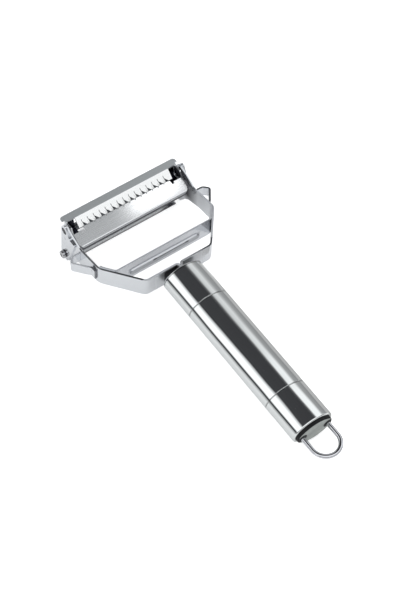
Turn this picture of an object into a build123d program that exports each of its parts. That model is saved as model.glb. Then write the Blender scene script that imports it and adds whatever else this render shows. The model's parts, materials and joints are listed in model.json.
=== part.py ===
from build123d import *
import math
import os

# Julienne peeler. Millimetres, +Z up, +Y towards the head, +X towards the right arm.
# Origin: on the handle's long axis, where the rounding of its front rim begins.

# Shared allowances
cut_overrun = 2.0
running_clearance = 0.05

# Handle: an oval drawn tube with turned-in rims and two engraved rings
handle_half_width = 10.5
handle_half_height = 7.3
oval_end_share = 0.77
handle_length = 96.5
tube_wall = 1.0
rim_lip = 0.3
rim_length = 1.4
rim_front = 0.9
rim_outer_round = 0.85
rim_inner_round = 0.35
ring_inset = 19.8
ring_width = 0.6
ring_depth = 0.35

# Front plug of the handle, holding the two tangs
plug_recess = 2.7
tang_stub = 1.8

# Rear cap of the handle and the wire hanging loop
cap_depth = 6.5
cap_proud = 1.6
cap_edge = 0.3
wire_radius = 1.1
loop_half_width = 6.8
loop_straight = 8.4
loop_leg_inside = 9.0

# Frame strips: one bent strip for each side, mirrored
strip = 1.0
tang_length = 18.5
tang_shoulder_y = 1.0
tang_top = 4.8
tang_bottom = 4.5
tang_bend = 1.3
front_y = 3.05
front_half_width = 18.2
front_bend = 3.5
frame_top = 5.8
frame_bottom = 5.1
shoulder_y = 20.8
shoulder_bend = 5.5
shoulder_top_drop = 0.2
arm_slope = 10.6
arm_dip_y = 36.0
arm_dip_round = 4.0

# Pivot places of the two swinging units, in the Y Z plane
upper_pivot_y = 48.0
upper_pivot_z = 4.6
lower_pivot_y = 48.5
lower_pivot_z = -13.4

# Head lobes of the strips, as steps in Y and Z from the pivots
arm_crown = (0.1, 3.5)
arm_crown_round = 1.6
arm_brow = (2.6, 1.5)
arm_brow_round = 1.2
arm_heel = (2.7, -0.6)
arm_heel_round = 2.2
arm_tip = (0.3, -3.9)
arm_tip_round = 1.4
arm_toe = (-2.6, -3.4)
arm_toe_round = 1.2
arm_flare = (-5.9, 1.5)
arm_flare_round = 5.0
arm_flank = (-8.8, 3.9)
arm_flank_round = 5.0
arm_belly = (-17.0, 6.8)
arm_belly_round = 6.0

# End plates on the outer faces of the arms
plate = 0.9
plate_step = (-9.2, -2.3)
plate_step_round = 0.8
plate_shelf = (-4.2, -2.2)
plate_shelf_round = 1.2
plate_crown = (-0.9, 5.2)
plate_crown_round = 1.2
plate_brow = (2.4, 1.4)
plate_brow_round = 1.6
plate_heel = (2.8, -0.4)
plate_heel_round = 2.0
plate_tip = (0.2, -3.4)
plate_tip_round = 1.2
plate_toe = (-2.5, -3.1)
plate_toe_round = 1.2
plate_flank = (-6.8, -8.6)
plate_flank_round = 3.0
plate_neck = (-7.5, -5.5)
plate_neck_round = 2.0
plate_hole_radius = 1.85
spot_radius = 0.8
spot_depth = 0.15
spot_step = (-0.7, -4.6)

# Pivot rivets
pin_radius = 1.2
pin_inner_gap = 0.7
upper_head_radius = 1.6
upper_head_height = 0.7
lower_head_radius = 2.0
lower_head_height = 1.8
rivet_edge = 0.3

# Crossbar between the slanted sides
bar = 0.9
bar_y = 15.0
bar_top = 5.9
bar_bottom = 5.2
bar_bend = 1.8
bar_tab_end_y = 21.8
bead_half_length = 19.6
bead_height = 4.0
bead_proud = 0.8
bead_drop = 0.8
bead_slope = 32.0

# Eye loops on the outer faces of the arms: points of the strip's middle line,
# as X from the arm's outer face and Y from the shoulder
eye_strip = 1.0
eye_height = 5.9
eye_top = 3.0
eye_slope = 8.5
eye_foot_start = 1.4
eye_foot_end = 4.6
eye_rise_out = 1.9
eye_rise_y = 6.1
eye_peak_out = 6.6
eye_peak_y = 12.6
eye_back_out = 4.2
eye_back_y = 15.3
eye_end_y = 15.6
eye_foot_round = 1.4
eye_rise_round = 2.2
eye_peak_round = 1.5
eye_back_round = 1.8

# Swinging units: side play to the arms, ears on the pins
unit_side_gap = 0.5
ear = 0.8

# Guide plate of the julienne unit, steps from the upper pivot
guide = 0.8
guide_near = (-10.0, -4.3)
guide_far = (-1.76, -1.37)
guide_hem = 1.9
guide_bend = 0.9
guide_side_gap = 0.7
guide_corner = 3.0
notch_width = 2.2
notch_side_gap = 0.1
notch_depth = 2.2
lip_depth = 1.2
trough_near = (-2.9, -4.1)
trough_far = (1.9, -4.1)
trough_rise = (3.0, 2.0)
trough_bend = 0.9
web_near_y = 0.2
web_top = -2.4
ear_near = (-4.2, -3.8)
ear_crown_y = -2.2
ear_far_y = 3.4
ear_round = 0.8

# Julienne blade, steps from the upper pivot
blade = 0.6
blade_tip = (-1.95, -0.75)
blade_bend_point = (2.0, 2.75)
flange_far_y = 5.9
flange_wide_y = 3.3
flange_end_inset = 0.2
blade_bend = 0.9
flange_corner = 1.6
band_half_length = 26.1
band_end_room = 6.3
tooth_count = 15
left_margin = 2.33
right_margin = 1.93
slit_width = 0.3
slit_end = 3.2
window_length = 1.95
window_share = 0.66
fin = 0.4
fin_length = 2.4
fin_height = 1.2
blade_bevel = 1.0

# Straight blade, steps from the lower pivot
peeler = 0.9
peeler_near = (-6.2, 1.85)
peeler_far = (8.6, -1.9)
peeler_arch = 1.5
peeler_slot_end = 3.1
peeler_slot = 1.8
peeler_slot_share = 0.38
peeler_bevel = 1.1
peeler_tab = 4.0
peeler_ear_radius = 2.6

# Derived places
half_share = 0.5
arm_out_x = band_half_length + band_end_room
strip_in_x = arm_out_x - strip
unit_end_x = strip_in_x - unit_side_gap
ear_in_x = unit_end_x - ear
notch_outer_x = band_half_length + notch_side_gap
notch_inner_x = notch_outer_x - notch_width
flange_half_length = arm_out_x - flange_end_inset
toothed_length = band_half_length + band_half_length - left_margin - right_margin
tooth_pitch = toothed_length / (tooth_count - 1 + window_share)
peeler_half_length = band_half_length
peeler_slot_half_length = peeler_half_length - peeler_slot_end
mouth_inset = tube_wall + rim_lip
plug_rear_y = tang_stub - tang_length
hole_radius = pin_radius + running_clearance
head_far_y = max(upper_pivot_y, lower_pivot_y) + max(arm_heel[0], arm_brow[0])
tall = handle_half_height + abs(lower_pivot_z) + abs(arm_tip[1])


def shifted(points, distance):
    """Corner points of an open line, moved sideways to its left."""
    legs = [(Vector(b) - Vector(a)).normalized() for a, b in zip(points, points[1:])]
    sides = [Vector(-leg.Y, leg.X) * distance for leg in legs]
    moved = [Vector(points[0]) + sides[0]]
    for corner, before, after in zip(points[1:], sides, sides[1:]):
        middle = (before + after).normalized()
        reach = distance * distance / middle.dot(before)
        moved.append(Vector(corner) + middle * reach)
    moved.append(Vector(points[-1]) + sides[-1])
    return [(point.X, point.Y) for point in moved]


def near_upper(step):
    """Point in the Y Z plane at a step from the upper pivot."""
    return (upper_pivot_y + step[0], upper_pivot_z + step[1])


def near_lower(step):
    """Point in the Y Z plane at a step from the lower pivot."""
    return (lower_pivot_y + step[0], lower_pivot_z + step[1])


def side_slab(face, x_from, x_to):
    """Solid between two X places from a face drawn in Y and Z."""
    return extrude(Pos(x_from, 0, 0) * (Plane.YZ * face), amount=x_to - x_from)


def plan_slab(face, z_from, z_to):
    """Solid between two heights from a face drawn in X and Y."""
    return extrude(Pos(0, 0, z_from) * face, amount=z_to - z_from)


def strip_face(points, radii, thickness):
    """Face of a bent strip of one thickness on its middle line."""
    return trace(FilletPolyline(*points, radius=radii), line_width=thickness)


def flat_face(*points):
    """Face inside a closed outline with sharp corners."""
    return make_face(Polyline(*points, close=True))


def rounded_face(corners):
    """Face inside a closed outline of (point, round) pairs."""
    points = [point for point, _ in corners]
    radii = [radius for _, radius in corners]
    return make_face(FilletPolyline(*points, radius=radii, close=True))


def oval_face(inset):
    """Oval of four tangent arcs, the handle's outline moved in by an inset."""
    half_turn = 180
    half_width, half_height = handle_half_width, handle_half_height
    end_radius = oval_end_share * half_height
    end_x = half_width - end_radius
    side_radius = (end_x**2 + half_height**2 - end_radius**2) * half_share / (half_height - end_radius)
    side_y = side_radius - half_height
    turn = math.degrees(math.atan2(side_y, end_x))
    outline = [
        CenterArc((end_x, 0), end_radius - inset, -turn, turn + turn),
        CenterArc((0, -side_y), side_radius - inset, turn, half_turn - turn - turn),
        CenterArc((-end_x, 0), end_radius - inset, half_turn - turn, turn + turn),
        CenterArc((0, side_y), side_radius - inset, half_turn + turn, half_turn - turn - turn),
    ]
    return make_face(outline)


def oval_slab(inset, y_from, y_to):
    """Oval solid on the handle's axis between two Y places, the first the greater."""
    return extrude(Plane.XZ.offset(-y_from) * oval_face(inset), amount=y_from - y_to)


def pin_slab(radius, place, x_from, x_to):
    """Round solid along X at a place in the Y Z plane."""
    return side_slab(Pos(*place) * Circle(radius), x_from, x_to)


def mirrored(part):
    """The same piece on the other side."""
    return mirror(part, about=Plane.YZ)


# Handle
def ring_cut(y):
    """One engraved ring round the handle."""
    return oval_slab(-cut_overrun, y, y - ring_width) - oval_slab(ring_depth, y, y - ring_width)


def edge_inset(edge):
    """How far an oval edge lies inside the handle's outline."""
    middle = edge.position_at(half_share)
    return handle_half_height - abs(middle.Z) if abs(middle.X) < abs(middle.Z) else handle_half_width - abs(middle.X)


def handle_tube():
    """Oval tube with a lip at each end."""
    rear = -handle_length
    tube = oval_slab(0, rim_front, rear)
    tube = tube - oval_slab(mouth_inset, rim_front + cut_overrun, rear - cut_overrun)
    tube = tube - oval_slab(tube_wall, rim_front - rim_length, rear + rim_length)
    ends = tube.edges().group_by(Axis.Y)[-1] + tube.edges().group_by(Axis.Y)[0]
    outer = [edge for edge in ends if edge_inset(edge) < mouth_inset * half_share]
    tube = fillet(outer, rim_outer_round)
    ends = tube.edges().group_by(Axis.Y)[-1] + tube.edges().group_by(Axis.Y)[0]
    inner = [edge for edge in ends if edge_inset(edge) > (mouth_inset + rim_outer_round) * half_share]
    tube = fillet(inner, rim_inner_round)
    front_ring = ring_cut(-ring_inset + ring_width * half_share)
    rear_ring = ring_cut(ring_inset - handle_length + ring_width * half_share)
    return tube - front_ring - rear_ring


def front_plug(arms):
    """Dark plug in the handle's mouth, slotted for the tangs."""
    plug = oval_slab(tube_wall, -plug_recess, plug_rear_y)
    for arm in arms:
        plug = plug - arm
    return plug


def end_cap():
    """Rear cap with two holes for the wire."""
    rear = -handle_length
    body = oval_slab(tube_wall, rear + cap_depth, rear + rim_length)
    neck = oval_slab(mouth_inset, rear + rim_length, rear - cap_proud)
    neck = chamfer(neck.edges().group_by(Axis.Y)[0], cap_edge)
    cap = body + neck
    length = cap_depth + cap_proud + cut_overrun + cut_overrun
    for side in (-1, 1):
        hole = Pos(side * loop_half_width, 0) * Circle(wire_radius)
        cap = cap - extrude(Plane.XZ.offset(-(rear + cap_depth + cut_overrun)) * hole, amount=length)
    return cap


def hanging_loop():
    """Round wire bent to a loop, both legs in the rear cap."""
    start_y = -handle_length + loop_leg_inside
    turn_y = -handle_length - loop_straight
    half_turn = 180
    loop = revolve(
        Plane.XZ.offset(-turn_y) * (Pos(loop_half_width, 0) * Circle(wire_radius)),
        axis=Axis((0, turn_y, 0), (0, 0, -1)),
        revolution_arc=half_turn,
    )
    for side in (-1, 1):
        section = Pos(side * loop_half_width, 0) * Circle(wire_radius)
        loop = loop + extrude(Plane.XZ.offset(-start_y) * section, amount=start_y - turn_y)
    return loop


# Frame strips
def outer_line():
    """Outer face of the right strip from its tang to its head."""
    return [
        (strip, -tang_length),
        (strip, front_y),
        (front_half_width, front_y),
        (arm_out_x, shoulder_y),
        (arm_out_x, head_far_y + cut_overrun),
    ]


def arm_outline():
    """Side outline of a strip, tang and head in one."""
    shoulder_z = frame_top - shoulder_top_drop
    dip_z = shoulder_z - (arm_dip_y - shoulder_y) * math.tan(math.radians(arm_slope))
    return rounded_face([
        ((-tang_length, -tang_bottom), 0),
        ((-tang_length, tang_top), 0),
        ((tang_shoulder_y, tang_top), 0),
        ((tang_shoulder_y, frame_top), 0),
        ((shoulder_y, shoulder_z), arm_dip_round),
        ((arm_dip_y, dip_z), arm_dip_round),
        (near_upper(arm_crown), arm_crown_round),
        (near_upper(arm_brow), arm_brow_round),
        (near_lower(arm_heel), arm_heel_round),
        (near_lower(arm_tip), arm_tip_round),
        (near_lower(arm_toe), arm_toe_round),
        (near_lower(arm_flare), arm_flare_round),
        (near_lower(arm_flank), arm_flank_round),
        (near_lower(arm_belly), arm_belly_round),
        ((shoulder_y, -frame_bottom), arm_belly_round),
        ((tang_shoulder_y, -frame_bottom), 0),
        ((tang_shoulder_y, -tang_bottom), 0),
    ])


def arm_right():
    """Right strip: bent in plan, cut to its side outline, bored for the pins."""
    middle = shifted(outer_line(), strip * half_share)
    plan = strip_face(middle, [tang_bend, front_bend, shoulder_bend], strip)
    arm = plan_slab(plan, -tall, tall) & side_slab(arm_outline(), 0, arm_out_x + cut_overrun)
    for place in (near_upper((0, 0)), near_lower((0, 0))):
        arm = arm - pin_slab(pin_radius, place, strip_in_x - cut_overrun, arm_out_x + cut_overrun)
    return arm


def end_plate_right():
    """Flat plate on the right arm's outer face."""
    outline = rounded_face([
        (near_upper(plate_step), plate_step_round),
        (near_upper(plate_shelf), plate_shelf_round),
        (near_upper(plate_crown), plate_crown_round),
        (near_upper(plate_brow), plate_brow_round),
        (near_lower(plate_heel), plate_heel_round),
        (near_lower(plate_tip), plate_tip_round),
        (near_lower(plate_toe), plate_toe_round),
        (near_upper(plate_flank), plate_flank_round),
        (near_upper(plate_neck), plate_neck_round),
    ])
    outside = arm_out_x + plate
    sheet = side_slab(outline, arm_out_x, outside)
    sheet = sheet - pin_slab(plate_hole_radius, near_upper((0, 0)), arm_out_x - cut_overrun, outside + cut_overrun)
    sheet = sheet - pin_slab(pin_radius, near_lower((0, 0)), arm_out_x - cut_overrun, outside + cut_overrun)
    return sheet - pin_slab(spot_radius, near_upper(spot_step), outside - spot_depth, outside + cut_overrun)


# Pivot rivets
def rivet(place, head_x, head_radius, head_height):
    """Rivet along X: a shank through the ear and the arm, and a head outside."""
    shank = pin_slab(pin_radius, place, ear_in_x - pin_inner_gap, head_x)
    head = pin_slab(head_radius, place, head_x, head_x + head_height)
    head = chamfer(head.edges().group_by(Axis.X)[-1], rivet_edge)
    return shank + head


def upper_pivot_right():
    """Upper rivet, its head sunk in the end plate's hole."""
    return rivet(near_upper((0, 0)), arm_out_x, upper_head_radius, upper_head_height)


def lower_pivot_right():
    """Lower rivet, its head standing on the end plate."""
    return rivet(near_lower((0, 0)), arm_out_x + plate, lower_head_radius, lower_head_height)


# Crossbar
def crossbar():
    """Strip across the frame with its ends turned along the slanted sides."""
    tab_line = shifted(outer_line(), strip + bar * half_share)
    turn_in, turn_out, end = tab_line[2], tab_line[3], tab_line[4]
    middle_y = bar_y + bar * half_share
    climb = (turn_out[0] - turn_in[0]) / (turn_out[1] - turn_in[1])
    corner = (turn_in[0] + climb * (middle_y - turn_in[1]), middle_y)
    right = [corner, turn_out, end]
    left = [(-x, y) for x, y in reversed(right)]
    tab_bend = shoulder_bend - (strip + bar) * half_share
    plan = strip_face(left + right, [tab_bend, bar_bend, bar_bend, tab_bend], bar)
    body = plan_slab(plan, -bar_bottom, bar_top)
    trim = Pos(0, bar_tab_end_y) * Rectangle(arm_out_x + arm_out_x, head_far_y, align=(Align.CENTER, Align.MIN))
    body = body - plan_slab(trim + Pos(0, head_far_y) * trim, -tall, tall)
    return body + bead() - bead_back()


def bead():
    """Pressed bead on the crossbar's near face."""
    shape = SlotOverall(bead_half_length + bead_half_length, bead_height)
    return extrude(Pos(0, bar_y, -bead_drop) * (Plane.XZ * shape), amount=bead_proud, taper=bead_slope)


def bead_back():
    """Hollow behind the bead."""
    inset = bar * math.tan(math.radians(bead_slope))
    width = bead_half_length + bead_half_length - inset
    shape = SlotOverall(width, bead_height - inset)
    far_y = bar_y + bar
    return extrude(Pos(0, far_y, -bead_drop) * (Plane.XZ * shape), amount=bar, taper=bead_slope)


# Eye loops
def eye_loop_right():
    """Bulged strip welded to the right arm's outer face."""
    foot_out = eye_strip * half_share
    points = [
        (arm_out_x + foot_out, shoulder_y + eye_foot_start),
        (arm_out_x + foot_out, shoulder_y + eye_foot_end),
        (arm_out_x + eye_rise_out, shoulder_y + eye_rise_y),
        (arm_out_x + eye_peak_out, shoulder_y + eye_peak_y),
        (arm_out_x + eye_back_out, shoulder_y + eye_back_y),
        (arm_out_x - cut_overrun, shoulder_y + eye_end_y),
    ]
    radii = [eye_foot_round, eye_rise_round, eye_peak_round, eye_back_round]
    loop = plan_slab(strip_face(points, radii, eye_strip), -tall, tall)
    fall = math.tan(math.radians(eye_slope))
    start_y, end_y = shoulder_y, shoulder_y + eye_end_y + eye_end_y
    start_z, end_z = eye_top, eye_top - fall * (end_y - start_y)
    band = flat_face(
        (start_y, start_z), (end_y, end_z), (end_y, end_z - eye_height), (start_y, start_z - eye_height)
    )
    return loop & side_slab(band, arm_out_x, arm_out_x + arm_out_x)


# Julienne unit
def guide_plan():
    """Plan outline of the guide plate with its corners and relief notches."""
    end_x = strip_in_x - guide_side_gap
    near_y = near_upper(guide_near)[0]
    far_y = near_upper(guide_far)[0]
    notch_y = far_y - notch_depth
    lip_y = far_y - lip_depth
    right = [
        ((end_x, near_y), guide_corner),
        ((end_x, lip_y), 0),
        ((notch_outer_x, lip_y), 0),
        ((notch_outer_x, notch_y), 0),
        ((notch_inner_x, notch_y), 0),
        ((notch_inner_x, far_y), 0),
    ]
    left = [((-point[0], point[1]), radius) for point, radius in reversed(right)]
    return rounded_face(right + left)


def guide_plate():
    """Sloped plate with a turned-down near edge."""
    near, far = near_upper(guide_near), near_upper(guide_far)
    hem_end = (near[0], near[1] - guide_hem)
    beyond = (far[0] + (far[0] - near[0]) * half_share, far[1] + (far[1] - near[1]) * half_share)
    middle = shifted([hem_end, near, beyond], -guide * half_share)
    face = strip_face(middle, [guide_bend], guide)
    return side_slab(face, -unit_end_x, unit_end_x) & plan_slab(guide_plan(), -tall, tall)


def trough_face():
    """Cross section of the trough, from under the plate to under the flange."""
    near, far = near_upper(guide_near), near_upper(guide_far)
    lip_y = far[0] - lip_depth
    root_y = lip_y - notch_depth
    slope = (far[1] - near[1]) / (far[0] - near[0])
    root = (root_y, near[1] + slope * (root_y - near[0]))
    lip = (lip_y, near[1] + slope * (lip_y - near[0]))
    top_line = [root, lip, near_upper(trough_near), near_upper(trough_far), near_upper(trough_rise)]
    middle = shifted(top_line, -guide * half_share)
    return strip_face(middle, [trough_bend, trough_bend, trough_bend], guide)


def guide_web():
    """Narrow web joining the two troughs under the toothed band."""
    place = (upper_pivot_y + web_near_y, upper_pivot_z + web_top)
    keep = Pos(*place) * Rectangle(head_far_y, tall, align=(Align.MIN, Align.MAX))
    web = side_slab(trough_face(), -notch_outer_x, notch_outer_x)
    return web & side_slab(keep, -notch_outer_x, notch_outer_x)


def guide_end():
    """Right end of the guide: a trough under the flange and an ear on the pin."""
    web = side_slab(trough_face(), notch_outer_x, unit_end_x)
    flange_under = near_upper(blade_bend_point)[1] - blade
    keep = Rectangle(head_far_y + head_far_y, flange_under + tall, align=(Align.CENTER, Align.MAX))
    web = web & side_slab(Pos(0, flange_under) * keep, notch_outer_x, unit_end_x)
    return web + guide_ear(flange_under)


def guide_ear(flange_under):
    """Upright ear round the upper pin, up to the flange."""
    outline = rounded_face([
        (near_upper(ear_near), ear_round),
        ((upper_pivot_y + ear_crown_y, flange_under), ear_round),
        ((upper_pivot_y + ear_far_y, flange_under), 0),
        ((upper_pivot_y + ear_far_y, upper_pivot_z + trough_far[1] - guide), ear_round),
        ((upper_pivot_y + trough_near[0], upper_pivot_z + trough_near[1] - guide), ear_round),
    ])
    return side_slab(outline, ear_in_x, unit_end_x)


def julienne_guide():
    """Guide plate with a trough and an ear at each end, joined by a web."""
    end = guide_end()
    body = guide_plate() + end + mirrored(end) + guide_web()
    return body - pin_slab(hole_radius, near_upper((0, 0)), -strip_in_x, strip_in_x)


def band_plane():
    """Plane of the toothed band: X along the blade, Y up the band."""
    tip, bend = near_upper(blade_tip), near_upper(blade_bend_point)
    slope = math.atan2(bend[1] - tip[1], bend[0] - tip[0])
    normal = (0, -math.sin(slope), math.cos(slope))
    return Plane(origin=(0, tip[0], tip[1]), x_dir=(1, 0, 0), z_dir=normal)


def tooth_gap(x):
    """One slit and the slanted window under it, through the band."""
    left_x, right_x = x, x + tooth_pitch * window_share
    gap = flat_face(
        (left_x, -cut_overrun),
        (right_x, -cut_overrun),
        (right_x, 0),
        (left_x + slit_width, window_length),
        (left_x + slit_width, slit_end),
        (left_x, slit_end),
    )
    return extrude(band_plane() * gap, amount=cut_overrun, both=True)


def tooth_fin(x):
    """Upright cutting fin beside one window."""
    shape = flat_face((0, -blade), (0, fin_height), (fin_length, 0), (fin_length, -blade))
    plane = band_plane()
    side = Plane(origin=plane.origin, x_dir=plane.y_dir, z_dir=(1, 0, 0))
    return Pos(x - fin, 0, 0) * extrude(side * shape, amount=fin)


def flange_plan():
    """Plan outline of the flange, wider beyond the arms."""
    near_y, far_y = near_upper(blade_bend_point)[0], upper_pivot_y + flange_far_y
    wide_y = upper_pivot_y + flange_wide_y
    right = [
        ((unit_end_x, near_y), 0),
        ((unit_end_x, wide_y), 0),
        ((flange_half_length, wide_y), 0),
        ((flange_half_length, far_y), flange_corner),
    ]
    left = [((-point[0], point[1]), radius) for point, radius in reversed(right)]
    return rounded_face(right + left)


def julienne_blade():
    """Bent blade: a flat flange and a sloped band with teeth and fins."""
    tip, bend = near_upper(blade_tip), near_upper(blade_bend_point)
    middle = shifted([tip, bend, (upper_pivot_y + flange_wide_y, bend[1])], -blade * half_share)
    body = side_slab(strip_face(middle, [blade_bend], blade), -band_half_length, band_half_length)
    body = body + plan_slab(flange_plan(), bend[1] - blade, bend[1])
    places = [left_margin - band_half_length + index * tooth_pitch for index in range(tooth_count)]
    for x in places:
        body = body + tooth_fin(x)
    for x in places:
        body = body - tooth_gap(x)
    return body - tip_bevel()


def tip_bevel():
    """Ground face under the tips of the teeth."""
    plane = band_plane()
    side = Plane(origin=plane.origin, x_dir=plane.y_dir, z_dir=(1, 0, 0))
    wedge = flat_face((0, 0), (blade_bevel, -blade), (0, -blade - cut_overrun), (-cut_overrun, 0))
    return Pos(-unit_end_x, 0, 0) * extrude(side * wedge, amount=unit_end_x + unit_end_x)


# Straight blade unit
def arch_face(thickness):
    """Cross section of the arched strip."""
    near, far = Vector(near_lower(peeler_near)), Vector(near_lower(peeler_far))
    chord = far - near
    up = Vector(-chord.Y, chord.X).normalized()
    crown = near + chord * half_share + up * peeler_arch
    arc = ThreePointArc((near.X, near.Y), (crown.X, crown.Y), (far.X, far.Y))
    return trace(arc, line_width=thickness)


def chord_plane(share):
    """Plane on the straight blade's chord, at a share of its width."""
    near, far = near_lower(peeler_near), near_lower(peeler_far)
    slope = math.atan2(far[1] - near[1], far[0] - near[0])
    place = (near[0] + (far[0] - near[0]) * share, near[1] + (far[1] - near[1]) * share)
    normal = (0, -math.sin(slope), math.cos(slope))
    return Plane(origin=(0, place[0], place[1]), x_dir=(1, 0, 0), z_dir=normal)


def peeling_slot():
    """Slot for the peel, with one side ground to an edge."""
    reach = peeler_arch + peeler + cut_overrun
    slot = SlotOverall(peeler_slot_half_length + peeler_slot_half_length, peeler_slot)
    plane = chord_plane(peeler_slot_share)
    cut = extrude(plane * slot, amount=reach, both=True)
    side = Plane(origin=plane.origin, x_dir=plane.y_dir, z_dir=(1, 0, 0))
    edge_y = peeler_slot * half_share
    crown = peeler_arch + peeler * half_share
    wedge = flat_face(
        (edge_y, crown - peeler),
        (edge_y, crown + cut_overrun),
        (edge_y + peeler_bevel, crown + cut_overrun),
        (edge_y + peeler_bevel, crown),
    )
    half = peeler_slot_half_length - peeler_slot * half_share
    return cut + Pos(-half, 0, 0) * extrude(side * wedge, amount=half + half)


def straight_blade():
    """Arched strip with a slot, narrowed to tabs that end in ears."""
    strip_body = side_slab(arch_face(peeler), -unit_end_x, unit_end_x)
    width = math.dist(peeler_near, peeler_far) + peeler
    centre = (peeler_near[0] + peeler_far[0]) * half_share
    broad = Rectangle(peeler_half_length + peeler_half_length, width + cut_overrun)
    narrow = Pos(0, -centre) * Rectangle(unit_end_x + unit_end_x, peeler_tab)
    reach = peeler_arch + peeler + cut_overrun
    body = strip_body & extrude(chord_plane(half_share) * (broad + narrow), amount=reach, both=True)
    body = body - peeling_slot()
    for x in (ear_in_x, -unit_end_x):
        body = body + pin_slab(peeler_ear_radius, near_lower((0, 0)), x, x + ear)
    return body - pin_slab(hole_radius, near_lower((0, 0)), -strip_in_x, strip_in_x)


def main():
    """Build every piece and write it."""
    os.makedirs("parts", exist_ok=True)
    right = arm_right()
    left = mirrored(right)
    pieces = {
        "handle_tube": handle_tube(),
        "front_plug": front_plug([left, right]),
        "end_cap": end_cap(),
        "hanging_loop": hanging_loop(),
        "arm_left": left,
        "arm_right": right,
        "end_plate_left": mirrored(end_plate_right()),
        "end_plate_right": end_plate_right(),
        "crossbar": crossbar(),
        "eye_loop_left": mirrored(eye_loop_right()),
        "eye_loop_right": eye_loop_right(),
        "upper_pivot_left": mirrored(upper_pivot_right()),
        "upper_pivot_right": upper_pivot_right(),
        "lower_pivot_left": mirrored(lower_pivot_right()),
        "lower_pivot_right": lower_pivot_right(),
        "julienne_guide": julienne_guide(),
        "julienne_blade": julienne_blade(),
        "straight_blade": straight_blade(),
    }
    for name, piece in pieces.items():
        export_step(piece, f"parts/{name}.step")
        print(name, len(piece.solids()), round(piece.volume, 2))


main()
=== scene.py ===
# %% [markdown]
# # A dual-sided julienne peeler in steel
# The CAD model holds the sizes. This lesson dresses it: every sheet, wire and moulding gets
# rounded cut edges and a finish of its own, and a white room with one long dark panel overhead
# gives the polished tube its stripes.

# %% Load the frame
import json
import math
import bmesh
import bpy
from mathutils import Matrix, Vector

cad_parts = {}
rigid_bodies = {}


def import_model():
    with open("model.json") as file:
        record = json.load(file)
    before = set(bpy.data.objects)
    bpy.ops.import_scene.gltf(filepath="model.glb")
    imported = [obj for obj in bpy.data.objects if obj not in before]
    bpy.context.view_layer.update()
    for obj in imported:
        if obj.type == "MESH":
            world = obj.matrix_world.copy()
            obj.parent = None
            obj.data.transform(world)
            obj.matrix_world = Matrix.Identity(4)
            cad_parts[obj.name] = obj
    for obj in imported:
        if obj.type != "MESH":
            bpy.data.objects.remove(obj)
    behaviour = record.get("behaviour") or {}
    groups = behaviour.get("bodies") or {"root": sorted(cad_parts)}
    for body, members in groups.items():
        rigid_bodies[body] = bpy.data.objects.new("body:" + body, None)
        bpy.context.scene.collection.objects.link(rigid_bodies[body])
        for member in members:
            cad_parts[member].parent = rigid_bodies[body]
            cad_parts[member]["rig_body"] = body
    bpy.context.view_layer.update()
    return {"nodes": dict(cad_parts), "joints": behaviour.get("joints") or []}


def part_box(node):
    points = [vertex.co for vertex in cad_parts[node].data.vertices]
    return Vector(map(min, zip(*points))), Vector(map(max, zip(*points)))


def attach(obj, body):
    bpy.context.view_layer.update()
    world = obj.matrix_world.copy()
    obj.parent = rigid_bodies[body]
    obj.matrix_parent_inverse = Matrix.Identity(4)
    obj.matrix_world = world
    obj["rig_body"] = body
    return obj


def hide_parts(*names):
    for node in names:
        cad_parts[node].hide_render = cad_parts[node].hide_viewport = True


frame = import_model()
NODES = frame["nodes"]
MM = 0.001

# %% [markdown]
# ## Camera
# The photograph looks down at 56 degrees from the left of the handle, through a long lens, and
# the camera is rolled by a few degrees. The numbers come from fitting the tube's outlines, rings
# and ends. A matrix of three axes says this more plainly than Euler angles do.

# %% Camera
AZIMUTH, ELEVATION, ROLL = math.radians(-39.01), math.radians(55.9), math.radians(4.15)
TARGET = Vector((-1.66, -15.52, 0)) * MM
DISTANCE = 707.8 * MM
FOCAL_PIXELS, FRAME_HEIGHT, SENSOR = 1570.3, 600, 24.0
NEAR_CLIP = 10 * MM


def add_camera():
    level = math.cos(ELEVATION)
    back = Vector((math.sin(AZIMUTH) * level, -math.cos(AZIMUTH) * level, math.sin(ELEVATION)))
    right = (-back).cross(Vector((0, 0, 1))).normalized()
    up = right.cross(-back)
    rolled_right = right * math.cos(ROLL) + up * math.sin(ROLL)
    rolled_up = up * math.cos(ROLL) - right * math.sin(ROLL)
    data = bpy.data.cameras.new("photo_camera")
    data.sensor_fit = "VERTICAL"
    data.sensor_height = SENSOR
    data.lens = FOCAL_PIXELS * SENSOR / FRAME_HEIGHT
    data.clip_start = NEAR_CLIP
    camera = bpy.data.objects.new("photo_camera", data)
    bpy.context.scene.collection.objects.link(camera)
    turn = Matrix((rolled_right, rolled_up, back)).transposed().to_4x4()
    camera.matrix_world = Matrix.Translation(TARGET + back * DISTANCE) @ turn
    bpy.context.scene.camera = camera
    print("camera lens", round(data.lens, 2), "at", tuple(round(v, 3) for v in camera.location))


add_camera()

# %% [markdown]
# ## Shader maths as plain expressions
# A material is a small program. Wrapping a socket in a class that knows + - * / and | lets a
# finish read like the formula it is, instead of a list of nodes and links. A mask is a number
# from 0 to 1 that says where something is.


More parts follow.
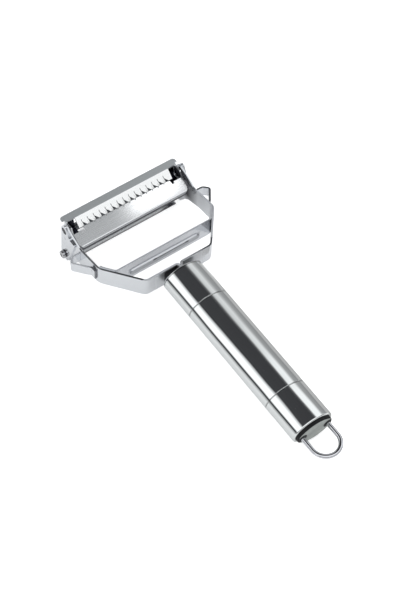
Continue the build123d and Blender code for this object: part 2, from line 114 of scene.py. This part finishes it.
# %% Sockets that do arithmetic
class Value:
    """One output socket of a node tree; arithmetic on it adds Math nodes."""

    def __init__(self, tree, socket):
        self.tree, self.socket = tree, socket

    def maths(self, operation, *others):
        node = self.tree.nodes.new("ShaderNodeMath")
        node.operation = operation
        for slot, value in zip(node.inputs, (self, *others)):
            plug(self.tree, slot, value)
        return Value(self.tree, node.outputs[0])

    def reflected(self, operation, other):
        """The same with the other value first, as in 1 - mask."""
        node = self.tree.nodes.new("ShaderNodeMath")
        node.operation = operation
        plug(self.tree, node.inputs[0], other)
        plug(self.tree, node.inputs[1], self)
        return Value(self.tree, node.outputs[0])

    def __add__(self, other):
        return self.maths("ADD", other)

    __radd__ = __add__

    def __mul__(self, other):
        return self.maths("MULTIPLY", other)

    __rmul__ = __mul__

    def __sub__(self, other):
        return self.maths("SUBTRACT", other)

    def __rsub__(self, other):
        return self.reflected("SUBTRACT", other)

    def __truediv__(self, other):
        return self.maths("DIVIDE", other)

    def __rtruediv__(self, other):
        return self.reflected("DIVIDE", other)

    def __abs__(self):
        return self.maths("ABSOLUTE")

    def __or__(self, other):
        """Either of two masks, or the larger of two numbers."""
        return self.maths("MAXIMUM", other)

    __ror__ = __or__

    def clamped(self):
        return self.maths("MAXIMUM", 0.0).maths("MINIMUM", 1.0)

    def above(self, edge, softness):
        """0 below the edge, 1 above it, with a soft step."""
        return ((self - edge) / softness + 0.5).clamped()

    def below(self, edge, softness):
        return 1 - self.above(edge, softness)

    def near(self, place, half, softness):
        """1 within a half width of a place, 0 away from it."""
        return abs(self - place).below(half, softness)


def plug(tree, slot, value):
    """Links a value into a slot, or sets the slot to a number or a colour."""
    if isinstance(value, Value):
        tree.links.new(value.socket, slot)
    else:
        slot.default_value = value


print("operators ready")

# %% [markdown]
# ## Node trees
# Materials and the world are both node trees, so one class makes any node of either: it takes
# the node's type, its settings and what goes into its sockets. A finish is such a tree with a
# shader at its end. Every finish reads Object coordinates, which stay with a piece when it
# swings.


# %% Trees and finishes
class Nodes:
    """A node tree under construction: one method makes any node."""

    def __init__(self, tree):
        self.tree = tree

    def node(self, kind, inputs=(), output=0, stops=None, **settings):
        node = self.tree.nodes.new(kind)
        for key, value in settings.items():
            setattr(node, key, value)
        if stops:
            ramp = node.color_ramp
            while len(ramp.elements) < len(stops):
                ramp.elements.new(0.5)
            for element, (place, colour) in zip(ramp.elements, stops):
                element.position, element.color = place, colour
        for key, value in dict(inputs).items():
            plug(self.tree, node.inputs[key], value)
        return Value(self.tree, node.outputs[output]) if node.outputs else node

    def place(self):
        """Object coordinates."""
        return self.node("ShaderNodeTexCoord", output="Object")

    def split(self, vector):
        """The X, Y and Z of a vector."""
        node = self.node("ShaderNodeSeparateXYZ", {0: vector}).socket.node
        return [Value(self.tree, socket) for socket in node.outputs]

    def vector(self, x, y, z):
        return self.node("ShaderNodeCombineXYZ", {0: x, 1: y, 2: z})

    def noise(self, vector, scale, detail=2.0, roughness=0.5):
        inputs = {"Vector": vector, "Scale": scale, "Detail": detail, "Roughness": roughness}
        return self.node("ShaderNodeTexNoise", inputs)

    def blend(self, share, first, second):
        """Mixes two colours."""
        return self.node("ShaderNodeMix", {0: share, 6: first, 7: second}, output=2, data_type="RGBA")

    def ray(self, kind):
        """1 for one kind of ray, such as Is Camera Ray, and 0 for the others."""
        return self.node("ShaderNodeLightPath", output=kind)


class Finish(Nodes):
    """A material under construction, with its shader."""

    def __init__(self, name):
        self.material = bpy.data.materials.new(name)
        self.material.use_nodes = True
        super().__init__(self.material.node_tree)
        self.shader = self.tree.nodes["Principled BSDF"]

    def bump(self, height, strength, distance, under=None):
        """A relief, laid over another one if that is given."""
        inputs = {"Strength": strength, "Distance": distance, "Height": height}
        if under:
            inputs["Normal"] = under
        return self.node("ShaderNodeBump", inputs)

    def wear(self, **sockets):
        """Sets the shader's own sockets, by name."""
        for name, value in sockets.items():
            plug(self.tree, self.shader.inputs[name.replace("_", " ")], value)
        return self.material


def scaled(colour, share):
    """A colour made darker or lighter."""
    return tuple(c * share for c in colour[:3]) + (1.0,)


print("trees and finishes ready")

# %% [markdown]
# ## Steel with a direction
# Every steel here is the same idea: a noise pulled long in one direction, used a little in the
# colour, a little in the roughness and a little as bump. Image textures of brushed steel would
# need seams and a scale of their own. A mask may paint a place darker, with painted shade and
# painted dark reflections, and another may dull it, where it was sheared, bent or pressed.

# %% Brushed steel
# The colour of painted shade and of painted dark reflections.
PAINTED_SHADE_COLOUR = (0.018, 0.019, 0.027, 1)
LINE_DEPTH = 0.02 * MM
LINE_TINT_SHARE = 0.93
SMUDGES_PER_METRE, WAVES_PER_METRE = 55.0, 60.0
DULLING = 0.25


def brushed(name, colour, rough, stretch, fine, spread, bump,
            cloud=0.04, dark=None, shade=PAINTED_SHADE_COLOUR, dull=None, swell=0.0):
    """Metal with long fine lines; stretch scales X, Y and Z before the noise."""
    made = Finish(name)
    x, y, z = made.split(made.place())
    lines = made.noise(made.vector(x * stretch[0], y * stretch[1], z * stretch[2]), fine, 3.0, 0.6)
    smudge = made.noise(made.place(), SMUDGES_PER_METRE)
    level = rough + (lines - 0.5) * spread + (smudge - 0.5) * cloud
    tint = made.blend((lines - 0.5) * 0.5 + 0.5, scaled(colour, LINE_TINT_SHARE), colour)
    if dull:
        level = level + dull(x, y, z) * DULLING
    if dark:
        tint = made.blend(dark(x, y, z), tint, shade)
    relief = made.bump(lines, bump, LINE_DEPTH)
    if swell:
        waves = made.noise(made.vector(x, y * 0.5, z), WAVES_PER_METRE, 1.0)
        relief = made.bump(waves, 1.0, swell, relief)
    print(name, "roughness", rough)
    return made.wear(Base_Color=tint, Metallic=1.0, Roughness=level.clamped(), Normal=relief)


print("smudges are about", round(1 / SMUDGES_PER_METRE / MM), "mm across")

# %% [markdown]
# ## The polished tube
# The tube is drawn and polished lengthwise, so its lines run along Y. No drawn tube is quite
# straight, so a slow swell makes its reflected stripes waver. It could be modelled as dents, but
# as bump it costs no faces. The two engraved rings and the fold of the rim get painted shade, a
# grey line each, and the spun rounding of the rim is duller than the tube.

# %% Tube
CRISP = 0.1 * MM
RINGS, RING_HALF = (-19.8 * MM, -76.7 * MM), 0.22 * MM
FOLD, FOLD_HALF, RIM_START = -0.1 * MM, 0.2 * MM, 0.15 * MM


def in_the_rings(x, y, z):
    """Painted shade in the two engraved rings and in the fold of the front rim."""
    front, rear = [y.near(place, RING_HALF, CRISP) for place in RINGS]
    return front | rear | y.near(FOLD, FOLD_HALF, CRISP)


def on_the_rim(x, y, z):
    """The rounding of the front rim."""
    return y.above(RIM_START, CRISP)


# The grey shade colour in the rings and the fold is painted shade.
HANDLE = brushed(
    "polished_tube", (0.83, 0.845, 0.84, 1), rough=0.075,
    stretch=(1.0, 0.02, 1.0), fine=2600.0, spread=0.07, bump=0.05,
    cloud=0.05, dark=in_the_rings, shade=(0.3, 0.3, 0.3, 1), dull=on_the_rim, swell=0.5 * MM,
)

# %% [markdown]
# ## The frame strips
# The strips are rolled sheet. Their lines run along the strip, which is level, so they change
# with height alone. A texture unwrapped along each strip would do it too, but height needs no
# unwrapping. Sheared edges are duller than rolled faces, and so is the middle, which is bent and
# welded. The inner faces of the arms get painted shade and a painted dark reflection beside the
# blades, and the left strip's foot, which stands in the mouth of the handle, gets painted shade.

# %% Strips
EDGE_DEPTH, EDGE_SOFT = 0.08 * MM, 0.06 * MM
SIDE_CHANGE = 1.0 * MM
FRONT_TOP, FRONT_FAR = 5.8 * MM, 4.6 * MM
BEND_Y, SHOULDER_Y, SIDE_END = 3.0 * MM, 20.8 * MM, 34.5 * MM
SIDE_FALL, ARM_FALL = 0.0112, 0.176
SIDE_START = 7.0 * MM
MIDDLE_HALF, MIDDLE_FAR = 13.0 * MM, 9.0 * MM
EDGE_DULLNESS = 2
ARM_INSIDE = 31.7 * MM
HEAD_START, HEAD_END, HEAD_FOOT = 36.5 * MM, 45.5 * MM, -9.0 * MM
FOOT_LEFT, FOOT_RIGHT, FOOT_TOP, FOOT_FACE = -8.3 * MM, -0.8 * MM, 4.9 * MM, 3.3 * MM
FOOT_SHADE = 0.85


def sheared(height, top):
    """The top edge of a strip, from its rounded corner up."""
    return height.above(top - EDGE_DEPTH, EDGE_SOFT)


def strip_dull(x, y, z):
    """The middle of the front strips, and the sheared edges: the left one's front, the right one's side."""
    middle = abs(x).below(MIDDLE_HALF, 5 * MM) * y.below(MIDDLE_FAR, 3 * MM)
    front = sheared(z, FRONT_TOP) * y.below(FRONT_FAR, 0.4 * MM) * x.below(0, SIDE_CHANGE)
    fall = ((y - BEND_Y) | 0.0) * SIDE_FALL + ((y - SHOULDER_Y) | 0.0) * ARM_FALL
    length = y.above(SIDE_START, 1 * MM) * y.below(SIDE_END, 1 * MM)
    side = sheared(z + fall, FRONT_TOP) * length * x.above(0, SIDE_CHANGE)
    return middle | (front + side) * EDGE_DULLNESS


def strip_dark(x, y, z):
    """Painted shade and dark reflection on the arms' inner faces beside the blades, and painted shade on
    the left strip's foot.
    """
    beside = y.above(HEAD_START, 8 * MM) * y.below(HEAD_END, 4 * MM) * z.above(HEAD_FOOT, 5 * MM)
    foot = y.below(FOOT_FACE, CRISP) * z.below(FOOT_TOP, 0.3 * MM) * FOOT_SHADE
    width = x.above(FOOT_LEFT, 0.4 * MM) * x.below(FOOT_RIGHT, 0.2 * MM)
    return beside * abs(x).below(ARM_INSIDE, CRISP) | foot * width


STRIP = brushed(
    "rolled_strip", (0.84, 0.855, 0.88, 1), rough=0.14,
    stretch=(0.03, 0.03, 1.0), fine=3200.0, spread=0.12, bump=0.12,
    dark=strip_dark, dull=strip_dull,
)

# %% [markdown]
# The eye loops are the same strip, welded to the arms. A painted shadow line lies at their near
# ends, where they meet the arms. The left loop's top edge is dull and the right one's has a
# painted dark reflection. Their edges fall towards the head by a slope of their own, so they get a
# finish of their own from the same recipe.

# %% Eye loops
LOOP_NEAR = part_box("eye_loop_left")[0].y
LOOP_TOP, LOOP_FALL = 2.77 * MM, 0.149
# The last number is how dark the loops' painted shadow line and painted reflection are.
WELD_DEPTH, WELD_LENGTH, PAINTED_LOOP_SHADE = 0.3 * MM, 3.6 * MM, 0.7


def loop_edge(y, z):
    """The sheared top edge of a loop, which falls towards the head."""
    return sheared(z + (y - LOOP_NEAR) * LOOP_FALL, LOOP_TOP)


def loop_dull(x, y, z):
    """The left loop's top edge, past the weld."""
    past_weld = y.above(LOOP_NEAR + WELD_LENGTH, 0.5 * MM)
    return loop_edge(y, z) * x.below(0, SIDE_CHANGE) * past_weld * EDGE_DULLNESS


def loop_dark(x, y, z):
    """A painted shadow line at each near end, and a painted dark reflection on the right loop's top edge.
    """
    on_weld = y.below(LOOP_NEAR + WELD_LENGTH, 0.5 * MM) | x.above(0, SIDE_CHANGE)
    return (y.below(LOOP_NEAR + WELD_DEPTH, CRISP) | loop_edge(y, z) * on_weld) * PAINTED_LOOP_SHADE


LOOP = brushed(
    "eye_strip", (0.84, 0.855, 0.88, 1), rough=0.14,
    stretch=(0.03, 0.03, 1.0), fine=3200.0, spread=0.12, bump=0.12, dark=loop_dark, dull=loop_dull,
)

# %% [markdown]
# ## The crossbar
# The bar is rolled sheet with a bead pressed into its near face. The press leaves the bead duller
# than the flat sheet. The bead is painted darker, and a painted reflection lies on it: a dark line
# with a dark spot at each end. The bar's right end lies in the corner of the frame, where a
# painted reflection of the arm darkens it. The bead is real geometry; the line and spots on it are
# only colour.

# %% Crossbar
BAR_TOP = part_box("crossbar")[1].z
BEAD_HEIGHT, BEAD_HALF, BEAD_LENGTH = -0.8 * MM, 2.5 * MM, 20.2 * MM
BEAD_FACE, BEAD_SLOPE, BAR_FACE = 14.6 * MM, 15.3 * MM, 15.4 * MM
# Where the painted reflection lies on the bead: a dark line, with a dark spot at each end.
REFLECTION_LINE_X, REFLECTION_LINE_HEIGHT, REFLECTION_LINE_LENGTH, REFLECTION_SPOT_AT = 3.2 * MM, 0.25 * MM, 9.2 * MM, 9.0 * MM
# The painted reflection of the arm on the bar's right end.
CORNER_X, CORNER_HEIGHT, CORNER_LEAN = 21.3 * MM, 5.0 * MM, 0.566
BEAD_SHADE, REFLECTION_LINE_SHADE, CORNER_SHADE = 0.3, 0.7, 0.5


def bar_dark(x, y, z):
    """The bead painted darker, with a painted reflection line and spots, and a painted reflection of the
    arm at the right end.
    """
    flat = z.near(BEAD_HEIGHT, 1.6 * MM, 1.2 * MM) * BEAD_SHADE
    along, across = abs(x - REFLECTION_LINE_X), abs(z - REFLECTION_LINE_HEIGHT)
    line = across.below(0.25 * MM, 0.25 * MM) * along.below(REFLECTION_LINE_LENGTH, 1 * MM) * REFLECTION_LINE_SHADE
    reflection_spots = across.below(0.5 * MM, 0.2 * MM) * along.near(REFLECTION_SPOT_AT, 0.9 * MM, 0.3 * MM)
    corner = (x - CORNER_X - (CORNER_HEIGHT - z) * CORNER_LEAN).above(0, 0.5 * MM)
    arm_reflection = corner * y.below(BAR_FACE, 0.2 * MM) * CORNER_SHADE
    return y.below(BEAD_FACE, 0.2 * MM) * (flat + line | reflection_spots) | arm_reflection


def bar_dull(x, y, z):
    """The bead with its slopes, and the sheared top edge."""
    bead = y.below(BEAD_SLOPE, CRISP) * z.near(BEAD_HEIGHT, BEAD_HALF, 0.4 * MM)
    return bead * abs(x).below(BEAD_LENGTH, 0.6 * MM) + sheared(z, BAR_TOP) * EDGE_DULLNESS


BAR = brushed(
    "crossbar_sheet", (0.76, 0.77, 0.80, 1), rough=0.18,
    stretch=(0.03, 1.0, 1.0), fine=3000.0, spread=0.12, bump=0.12,
    dark=bar_dark, shade=(0.08, 0.08, 0.09, 1), dull=bar_dull,
)

# %% [markdown]
# ## End plates and rivets
# The plates are brushed upright. The upper rivets are hollow, and their near-black colour is
# painted shade, so they show as dark holes in the plates. The lower ones have a turned head; the
# hollow in it is only a painted dark spot of shade, and the foot of the head gets painted shade.
# The lower rivets lie on the axis that the straight blade swings on, so the frame's own joint
# says where the hollow goes.

# %% Plates and rivets
SWINGS = {joint["name"]: Vector(joint["pos_m"]) for joint in frame["joints"]}
LOW_AXIS = SWINGS["blade_swivel"]
HOLLOW_RADIUS, HEAD_SHADE = 0.8 * MM, 0.8
HEAD_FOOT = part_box("end_plate_right")[1].x + 0.5 * MM


def distance(across, up):
    """How far a point is from an axis, from its two offsets."""
    return (across * across + up * up).maths("SQRT")


def rivet_dark(x, y, z):
    """Painted shade: the hollow in a lower rivet's head, and the foot of the head."""
    hollow = distance(y - LOW_AXIS.y, z - LOW_AXIS.z).below(HOLLOW_RADIUS, 0.2 * MM)
    return hollow | abs(x).below(HEAD_FOOT, 0.3 * MM) * HEAD_SHADE


PLATE = brushed(
    "end_plate_sheet", (0.80, 0.815, 0.84, 1), rough=0.14,
    stretch=(1.0, 1.0, 0.04), fine=2600.0, spread=0.12, bump=0.12,
)
# The upper rivets' near-black colour is painted shade in their holes.
SOCKET = brushed(
    "hollow_rivet", (0.025, 0.025, 0.03, 1), rough=0.3,
    stretch=(1.0, 1.0, 1.0), fine=2600.0, spread=0.12, bump=0.12,
)
RIVET = brushed(
    "headed_rivet", (0.6, 0.6, 0.61, 1), rough=0.08,
    stretch=(1.0, 1.0, 1.0), fine=2600.0, spread=0.12, bump=0.2, dark=rivet_dark,
)

# %% [markdown]
# ## The guide plate and the straight blade
# Both are brushed along X. The troughs behind the guide plate get blue-black painted shade, and
# so, a little less, does the web between them; the foot of the near lip gets a painted dark
# reflection. The straight blade is bright, and its cut near edge has a painted dark reflection.
# They could be painted as an image, but places on a stamped part are known to a tenth of a
# millimetre, so masks by place are simpler.

# %% Guide and straight blade
TROUGH_SIDE, EAR_SIDE, TROUGH_START = 26.15 * MM, 29.75 * MM, 45.0 * MM
WEB_START, LIP_END, LIP_FOOT = 47.9 * MM, 38.6 * MM, -0.4 * MM
CUT_EDGE_END = 42.45 * MM
WEB_SHADE, LIP_SHADE, CUT_SHADE = 0.8, 0.88, 0.6


def guide_dark(x, y, z):
    """Painted shade in the troughs and on the web, and a painted dark reflection on the lip's foot, but not
    on the ears.
    """
    troughs = abs(x).above(TROUGH_SIDE, 0.05 * MM) * y.above(TROUGH_START, 0.2 * MM)
    web = y.above(WEB_START, CRISP) * WEB_SHADE
    lip = y.below(LIP_END, CRISP) * z.below(LIP_FOOT, 0.3 * MM) * LIP_SHADE
    return (troughs | web | lip) * abs(x).below(EAR_SIDE, CRISP)


def cut_edge(x, y, z):
    """A painted dark reflection on the near edge of the straight blade."""
    return y.below(CUT_EDGE_END, 0.08 * MM) * CUT_SHADE


GUIDE = brushed(
    "brushed_guide", (0.74, 0.75, 0.76, 1), rough=0.26,
    stretch=(0.02, 1.0, 1.0), fine=3600.0, spread=0.18, bump=0.22, dark=guide_dark,
)
PEELER = brushed(
    "straight_blade_steel", (0.93, 0.93, 0.94, 1), rough=0.16,
    stretch=(0.02, 1.0, 1.0), fine=3600.0, spread=0.12, bump=0.12, dark=cut_edge,
)

# %% [markdown]
# ## The julienne blade
# The blade has two faces: the flange is blasted to an even grey, and the toothed band is ground
# bright. Two materials could only change over along an edge of the mesh, so one material holds
# both finishes and changes over in a soft line where the sheet is bent.

# %% Julienne blade
FLANGE_START, BAND_ROUGH, FLANGE_ADDS = 49.97 * MM, 0.24, 0.22
BAND_COLOUR, FLANGE_COLOUR = (0.86, 0.86, 0.855, 1), (0.84, 0.87, 0.88, 1)


def two_faced_blade():
    made = Finish("julienne_blade_steel")
    x, y, z = made.split(made.place())
    lines = made.noise(made.vector(x * 0.02, y, z), 3600.0, 3.0, 0.6)
    grain = made.noise(made.place(), 5200.0, 2.0, 0.7)
    flange = y.above(FLANGE_START, 0.08 * MM)
    rough = BAND_ROUGH + flange * FLANGE_ADDS + (lines - 0.5) * 0.12
    relief = made.bump(lines * 0.5 + grain * flange * 0.8, 0.15, LINE_DEPTH)
    colour = made.blend(flange, BAND_COLOUR, FLANGE_COLOUR)
    return made.wear(Base_Color=colour, Metallic=1.0, Roughness=rough.clamped(), Normal=relief)


BLADE = two_faced_blade()
print("blade changes over at", round(FLANGE_START / MM, 2), "mm")

# %% [markdown]
# ## Wire, plug and cap
# The hanging loop is bright drawn wire. The plug and the cap are dull mouldings with a fine grain
# and a cloudy colour. The cap sits in the tube's rear rim with a gap round it, and each leg of the
# wire stands in a small hollow. Both look black. That could be left to the lighting, but even
# soft light fills such small gaps, so the black is in the colour.

# %% Wire, plug and cap
GRAIN_PER_METRE, MOTTLE_PER_METRE, MOULDING_DEPTH = 1800.0, 240.0, 0.03 * MM
MOTTLE_DARK, MOTTLE_LIGHT, MOULDED_GLOSS = 0.5, 1.4, 0.2
CAP_REAR, CAP_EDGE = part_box("end_cap")[0].y, 0.06 * MM
LEG_X, LEG_HOLLOW = 6.8 * MM, 2.3 * MM
# The black of the painted shade in the cap's gaps.
GAP = (0.012, 0.012, 0.013, 1)


def moulded(name, colour, rough, gaps=None):
    """Dull moulded plastic, with painted shade in its gaps."""
    made = Finish(name)
    grain = made.noise(made.place(), GRAIN_PER_METRE, 3.0, 0.6)
    mottle = made.noise(made.place(), MOTTLE_PER_METRE, 3.0, 0.6)
    tint = made.blend(mottle, scaled(colour, MOTTLE_DARK), scaled(colour, MOTTLE_LIGHT))
    if gaps:
        tint = made.blend(gaps(*made.split(made.place())), tint, GAP)
    made.shader.inputs["Specular IOR Level"].default_value = MOULDED_GLOSS
    relief = made.bump(grain, 0.2, MOULDING_DEPTH)
    return made.wear(Base_Color=tint, Roughness=(rough + (grain - 0.5) * 0.2).clamped(), Normal=relief)


def cap_gaps(x, y, z):
    """Painted shade on the cap's rounded rim and its sides, and in the hollows round the two wire legs."""
    hollow = distance(abs(x) - LEG_X, z).below(LEG_HOLLOW, CRISP)
    return y.above(CAP_REAR + CAP_EDGE, 0.04 * MM) | hollow


WIRE = brushed(
    "bright_wire", (0.74, 0.74, 0.77, 1), rough=0.04,
    stretch=(1.0, 0.05, 1.0), fine=2600.0, spread=0.05, bump=0.04,
)
PLUG = moulded("plug_moulding", (0.3, 0.3, 0.3, 1), 0.5)
CAP = moulded("cap_moulding", (0.42, 0.44, 0.42, 1), 0.5, gaps=cap_gaps)
print("finishes", len(bpy.data.materials))

# %% [markdown]
# ## Dressing a CAD piece
# The CAD mesh has knife-sharp corners, and real sheet metal never does: a stamped edge catches a
# thin line of light. So each piece is copied, its loose triangles are merged and its flat faces
# joined, and every hard edge is bevelled by about a tenth of a millimetre. A Bevel modifier would
# do it too, but on merged faces the operator's result can be counted and printed.

# %% Bevelled copies
MERGE = 0.002 * MM
FLAT_ANGLE, HARD_ANGLE, SHARP_ANGLE = math.radians(0.6), math.radians(28), math.radians(40)


def dress(name, finish, width=0.12 * MM, segments=2):
    """A copy of a CAD node with rounded edges, standing for the node."""
    node = NODES[name]
    mesh = bmesh.new()
    mesh.from_mesh(node.data)
    bmesh.ops.remove_doubles(mesh, verts=mesh.verts, dist=MERGE)
    bmesh.ops.dissolve_limit(mesh, angle_limit=FLAT_ANGLE, verts=mesh.verts, edges=mesh.edges)
    hard = [e for e in mesh.edges if len(e.link_faces) == 2 and e.calc_face_angle(0) > HARD_ANGLE]
    if width:
        bmesh.ops.bevel(
            mesh, geom=hard, offset=width, offset_type="OFFSET", segments=segments, profile=0.5,
            affect="EDGES", clamp_overlap=True, material=-1,
        )
    for face in mesh.faces:
        face.smooth = True
    data = bpy.data.meshes.new(name + "_finished")
    mesh.to_mesh(data)
    mesh.free()
    data.set_sharp_from_angle(angle=SHARP_ANGLE)
    data.materials.append(finish)
    piece = bpy.data.objects.new(name + "_finished", data)
    bpy.context.scene.collection.objects.link(piece)
    weighted = piece.modifiers.new("even_normals", "WEIGHTED_NORMAL")
    weighted.keep_sharp = True
    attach(piece, node["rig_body"])
    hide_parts(name)
    print(name, "faces", len(data.polygons), "hard edges", len(hard))
    return piece


print("edges sharper than", round(math.degrees(HARD_ANGLE)), "degrees get a bevel")

# %% [markdown]
# Mouldings have the softest edges, stamped sheet comes next, and the blade's fine teeth and the
# tube's thin rims get the narrowest bevels. The wire has no edges, so it is only copied. Each
# copy rides on its node's body, so the two blade units still swing.

# %% Every piece
for side in ("left", "right"):
    dress("arm_" + side, STRIP)
    dress("eye_loop_" + side, LOOP)
    dress("end_plate_" + side, PLATE)
    dress("upper_pivot_" + side, SOCKET, width=0.08 * MM)
    dress("lower_pivot_" + side, RIVET)
dress("crossbar", BAR)
guide = dress("julienne_guide", GUIDE, width=0.1 * MM)
dress("julienne_blade", BLADE, width=0.04 * MM, segments=1)
dress("straight_blade", PEELER, width=0.08 * MM)
dress("hanging_loop", WIRE, width=0)
dress("front_plug", PLUG, width=0.15 * MM)
dress("end_cap", CAP, width=0.15 * MM)
dress("handle_tube", HANDLE, width=0.05 * MM)

# %% [markdown]
# ## Studio
# Polished steel has no colour of its own: it shows the room. The world is a white room with one
# long dark panel overhead, laid out by the angle round the tube, so that the same panel draws the
# same stripe all along it. Lamps with softboxes would do it too, but near ones would bend the
# stripes. Only glossy rays see that room. The camera sees plain white, and everything else is lit
# by an even soft white.

# %% World
# Angle in degrees from straight up, positive towards the right arm, and the room's brightness there.
ROOM = [
    (-180, 0.62), (-165, 0.42), (-140, 0.60), (-96, 0.66), (-80, 0.50), (-75, 0.03), (-66, 0.03),
    (-60, 0.70), (-54, 1.30), (-37, 1.30), (-30, 0.72), (-25.5, 0.055), (24, 0.050), (31, 0.14),
    (38, 0.72), (52, 0.84), (60, 0.60), (69, 0.40), (82, 0.34), (95, 0.34), (110, 0.40),
    (140, 0.55), (180, 0.62),
]
SOFT_WHITE, GLOW, SHADE = 0.95, 1.15, 0.05
# Three patches lie over the room. Each limit is an edge and its softness. Turns are counted about
# the tube from straight down, ahead is the part of a direction along +Y and up the part along +Z.
STRIP_FROM_TURN, STRIP_TO_TURN, STRIP_AHEAD = (0.594, 0.016), (0.668, 0.03), (0.385, 0.05)
REAR_AHEAD = (-0.15, 0.35)
DARK_AHEAD, DARK_FROM_UP, DARK_TO_UP = (-0.35, 0.2), (-0.1, 0.1), (0.44, 0.1)


def tone(level):
    """A brightness as a very slightly cool grey."""
    return (level * 0.98, level, level * 1.01 + 0.004, 1.0)


def room():
    world = bpy.data.worlds.new("white_room")
    bpy.context.scene.world = world
    world.use_nodes = True
    world.node_tree.nodes.clear()
    made = Nodes(world.node_tree)
    side, ahead, up = made.split(made.node("ShaderNodeTexCoord", output="Generated"))
    turn = side.maths("ARCTAN2", up) / (2 * math.pi) + 0.5
    stops = [((angle + 180) / 360, tone(level)) for angle, level in ROOM]
    seen = made.node("ShaderNodeValToRGB", {0: turn}, stops=stops)
    strip = ahead.below(*STRIP_AHEAD) * turn.above(*STRIP_FROM_TURN) * turn.below(*STRIP_TO_TURN)
    seen = made.blend(strip, seen, tone(GLOW))
    seen = made.blend(ahead.below(*REAR_AHEAD), seen, tone(GLOW))
    low_rear = ahead.below(*DARK_AHEAD) * up.below(*DARK_TO_UP) * up.above(*DARK_FROM_UP)
    seen = made.blend(low_rear, seen, tone(SHADE))
    lit = made.blend(made.ray("Is Glossy Ray"), tone(SOFT_WHITE), seen)
    shown = made.blend(made.ray("Is Camera Ray"), lit, (1, 1, 1, 1))
    background = made.node("ShaderNodeBackground", {0: shown})
    made.node("ShaderNodeOutputWorld", {0: background})
    print("room stops", len(stops))


room()

# %% [markdown]
# ## Floor
# The peeler lies on its handle's rear and on the tips of its arms, so the floor is a plane through
# these, a few degrees off level. It is white card. More light in the room would whiten it too, but
# would wash out the steel. So where the camera sees it, a little light of its own lifts it to the
# white of the background and leaves only the shadow. Reflections see a fifth of that light.

# %% Floor
FLOOR_HALF = 2.5
TIP_INSET = 2.5 * MM
CAMERA_LIFT, GLOSSY_SHARE = 0.65, 0.2


def card_object(mesh, name, finish):
    """A card of the stage, made of a bmesh and linked to the scene."""
    data = bpy.data.meshes.new(name)
    mesh.to_mesh(data)
    mesh.free()
    data.materials.append(finish)
    made = bpy.data.objects.new(name, data)
    bpy.context.scene.collection.objects.link(made)
    return made


def lay_floor():
    tips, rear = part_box("arm_left"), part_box("handle_tube")
    tip_y, tip_z = tips[1].y - TIP_INSET, tips[0].z
    slope = math.atan2(rear[0].z - tip_z, tip_y - rear[0].y)
    mesh = bmesh.new()
    bmesh.ops.create_grid(mesh, x_segments=1, y_segments=1, size=FLOOR_HALF)
    turn = Matrix.Translation((0, tip_y, tip_z)) @ Matrix.Rotation(-slope, 4, "X")
    bmesh.ops.transform(mesh, matrix=turn, verts=mesh.verts)
    made = Finish("white_card")
    made.shader.inputs["Specular IOR Level"].default_value = 0.0
    lift = (made.ray("Is Camera Ray") + made.ray("Is Glossy Ray") * GLOSSY_SHARE) * CAMERA_LIFT
    made.wear(Base_Color=(0.8, 0.8, 0.8, 1), Roughness=0.9)
    made.wear(Emission_Color=(1, 1, 1, 1), Emission_Strength=lift)
    floor = card_object(mesh, "white_card", made.material)
    print("floor slope", round(math.degrees(slope), 2))


lay_floor()

# %% [markdown]
# ## Cards
# A far sky shows one brightness in a flat face, but the guide plate goes from grey at its left
# end to white at its right. So a real card hangs near the head, 5.5 cm above the handle's axis.
# It is a sheer one that adds its light to what lies behind it, and it is linked to the guide
# plate alone, or the tube would show it too. Two level cards, one on the right of the tube and
# one beyond it, keep the tube's lower right side grey. Only reflections see any of them.

# %% Cards
SHEER = 0.02
CARD_LEVEL, CARD_EDGE, CARD_REAR = -6.5, 46, -130


def hang_card(name, low, high, strength, cover=1.0, seen_by=None):
    """A level card between two corners in millimetres; cover is how much it hides."""
    mesh = bmesh.new()
    bmesh.ops.create_grid(mesh, x_segments=1, y_segments=1, size=0.5)
    low, high = Vector(low) * MM, Vector(high) * MM
    bmesh.ops.scale(mesh, vec=(high.x - low.x, high.y - low.y, 1), verts=mesh.verts)
    bmesh.ops.translate(mesh, vec=(low + high) / 2, verts=mesh.verts)
    made = Finish(name)
    made.wear(Base_Color=(0, 0, 0, 1), Alpha=cover)
    made.wear(Emission_Color=(1, 1, 1, 1), Emission_Strength=strength / cover)
    card = card_object(mesh, name, made.material)
    for ray in ("camera", "diffuse", "transmission", "volume_scatter", "shadow"):
        setattr(card, "visible_" + ray, False)
    if seen_by:
        linked = bpy.data.collections.new(name + "_is_seen_by")
        linked.objects.link(seen_by)
        card.light_linking.receiver_collection = linked
    print(name, "strength", strength)


hang_card("near_card", (20.5, 33, 55), (50.5, 43, 55), strength=2.6, cover=SHEER, seen_by=guide)
hang_card("side_card", (11, CARD_REAR, CARD_LEVEL), (CARD_EDGE, -1, CARD_LEVEL), strength=0.45)
hang_card("far_side_card", (CARD_EDGE, CARD_REAR, CARD_LEVEL), (900, 500, CARD_LEVEL), strength=0.45)

# %% [markdown]
# ## Colour management
# The view is set to Standard, so that a white of 1 stays white.

# %% Colour management
bpy.context.scene.view_settings.view_transform = "Standard"
